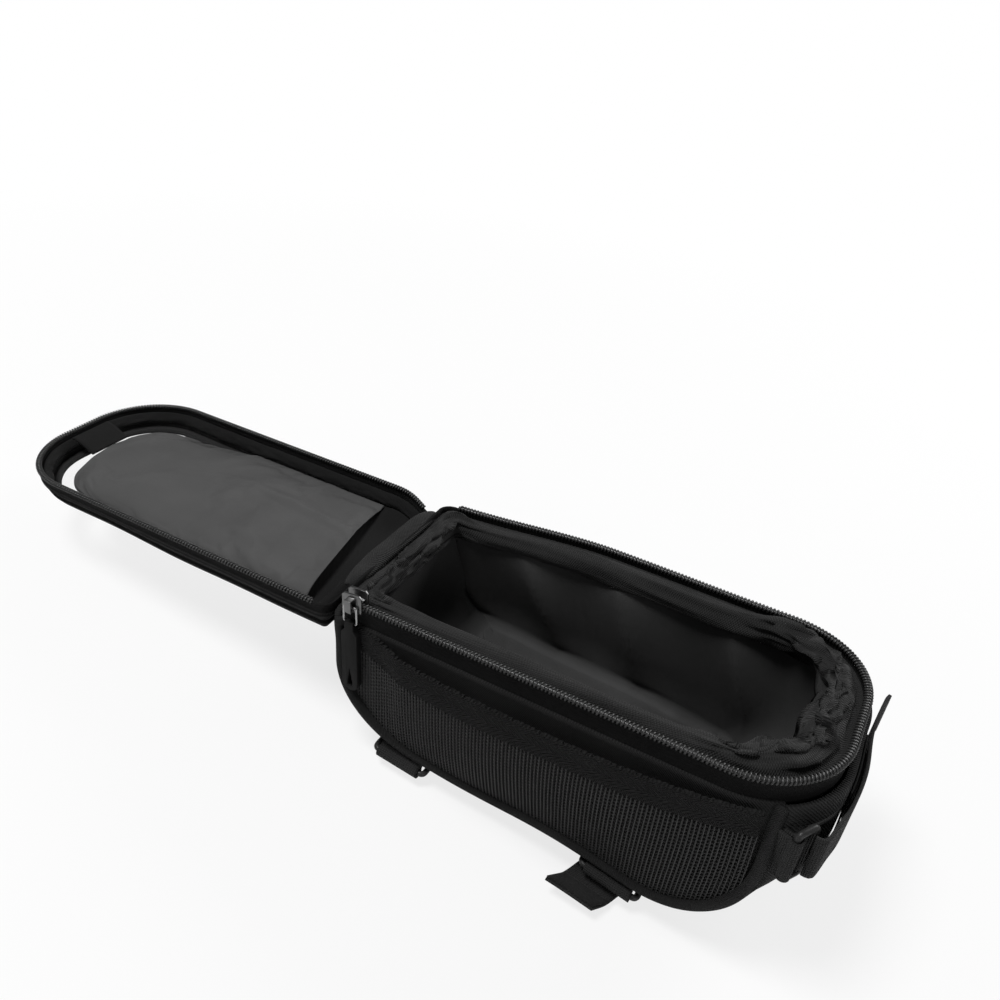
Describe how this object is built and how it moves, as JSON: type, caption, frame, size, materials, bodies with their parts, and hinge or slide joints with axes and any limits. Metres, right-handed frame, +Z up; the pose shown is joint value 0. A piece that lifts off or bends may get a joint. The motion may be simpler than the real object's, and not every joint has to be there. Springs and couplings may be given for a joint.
{
  "type": "bike phone frame bag",
  "caption": "Padded top-tube bag with a zip-up lid that holds a phone behind a clear window, mesh side pockets and hook-and-loop straps.",
  "frame": {"origin": "centre of the flat, gently sloping bottom face that rests on the top tube", "axes": "+X along the bag to its strap end, +Z up out of the mouth, -Y to the side that carries the slider"},
  "size_m": [0.3985, 0.1124, 0.0938],
  "materials": {
    "twill_shell": "black woven polyester shell",
    "pipe_cord": "black cord covering",
    "mesh_net": "black knitted mesh",
    "binding_tape": "black herringbone binding tape",
    "webbing": "black ribbed webbing",
    "hook_loop": "black hook-and-loop tape",
    "lining_cloth": "dark grey coated lining",
    "foam": "closed-cell foam padding",
    "sleeve_cloth": "mid grey nylon",
    "coil_nylon": "black nylon coil",
    "ring_plastic": "black moulded plastic",
    "board_plastic": "stiff base board",
    "slider_nickel": "nickel plated",
    "rubber_pull": "black moulded rubber",
    "clear_film": "clear flexible film"
  },
  "bodies": {
    "bag": {"side_panel_near": "twill_shell", "side_panel_far": "twill_shell", "end_gusset": "twill_shell", "side_foam_near": "foam", "side_foam_far": "foam", "gusset_foam": "foam", "base_board": "board_plastic", "lining": "lining_cloth", "side_piping_near": "pipe_cord", "side_piping_far": "pipe_cord", "mouth_zip_tape": "binding_tape", "mouth_hem": "lining_cloth", "mouth_coil": "coil_nylon", "mesh_pocket_near": "mesh_net", "pocket_binding_near": "binding_tape", "mesh_pocket_far": "mesh_net", "pocket_binding_far": "binding_tape", "hinge_seam": "twill_shell", "strap_tab_rear": "webbing", "strap_ring_rear": "ring_plastic", "strap_rear": "webbing", "strap_loop_patch_rear": "hook_loop", "strap_tab_front": "webbing", "strap_ring_front": "ring_plastic", "strap_front": "webbing", "strap_loop_patch_front": "hook_loop", "strap_tab_end": "webbing", "strap_ring_end": "ring_plastic", "strap_end": "webbing", "strap_loop_patch_end": "hook_loop"},
    "lid": {"lid_coil": "coil_nylon", "lid_zip_tape": "binding_tape", "lid_wall": "twill_shell", "lid_piping": "pipe_cord", "lid_frame": "twill_shell", "lid_inner_binding": "lining_cloth", "phone_window": "clear_film", "window_binding": "binding_tape", "phone_sleeve": "sleeve_cloth", "sleeve_loop_patch": "hook_loop", "hinge_flap": "twill_shell"},
    "sleeve_flap": {"sleeve_tab": "webbing", "sleeve_hook_patch": "hook_loop"},
    "slider": {"zip_slider": "slider_nickel"},
    "link": {"pull_link": "slider_nickel"},
    "puller": {"rubber_puller": "rubber_pull"},
    "rear_tail": {"strap_tail_rear": "webbing", "strap_hook_patch_rear": "hook_loop"},
    "front_tail": {"strap_tail_front": "webbing", "strap_hook_patch_front": "hook_loop"},
    "end_tail": {"strap_tail_end": "webbing", "strap_hook_patch_end": "hook_loop"}
  },
  "joints": [
    {"name": "lid_hinge", "type": "hinge", "parent": "bag", "child": "lid", "pos_m": [-0.098, 0, 0.0695], "axis": [0, 1, 0], "range_deg": [0, 180]},
    {"name": "sleeve_tab_peel", "type": "hinge", "parent": "lid", "child": "sleeve_flap", "pos_m": [-0.28, 0, 0.0646], "axis": [0, 1, 0], "range_deg": [-90, 0]},
    {"name": "zip_slide", "type": "slide", "parent": "bag", "child": "slider", "axis": [1, 0, 0], "range_m": [0, 0.13]},
    {"name": "link_swing", "type": "hinge", "parent": "slider", "child": "link", "pos_m": [-0.0865, -0.0483, 0.07275], "axis": [1, 0, 0], "range_deg": [-118, 0]},
    {"name": "puller_swing", "type": "hinge", "parent": "link", "child": "puller", "pos_m": [-0.0865, -0.0483, 0.06475], "axis": [1, 0, 0], "range_deg": [-70, 0]},
    {"name": "rear_tail_peel", "type": "hinge", "parent": "bag", "child": "rear_tail", "pos_m": [-0.062, -0.03711, 0.00052], "axis": [0.9929, 0, -0.1189], "range_deg": [-105, 0]},
    {"name": "front_tail_fold", "type": "hinge", "parent": "bag", "child": "front_tail", "pos_m": [0.033, -0.03711, -0.01086], "axis": [0.9929, 0, -0.1189], "range_deg": [0, 150]},
    {"name": "end_tail_peel", "type": "hinge", "parent": "bag", "child": "end_tail", "pos_m": [0.09306, -0.04111, 0.046], "axis": [0, 0, 1], "range_deg": [-105, 0]}
  ],
  "couplings": [
    {"joint": "link_swing", "follows": "zip_slide", "rad_per_m": -15.708}
  ]
}
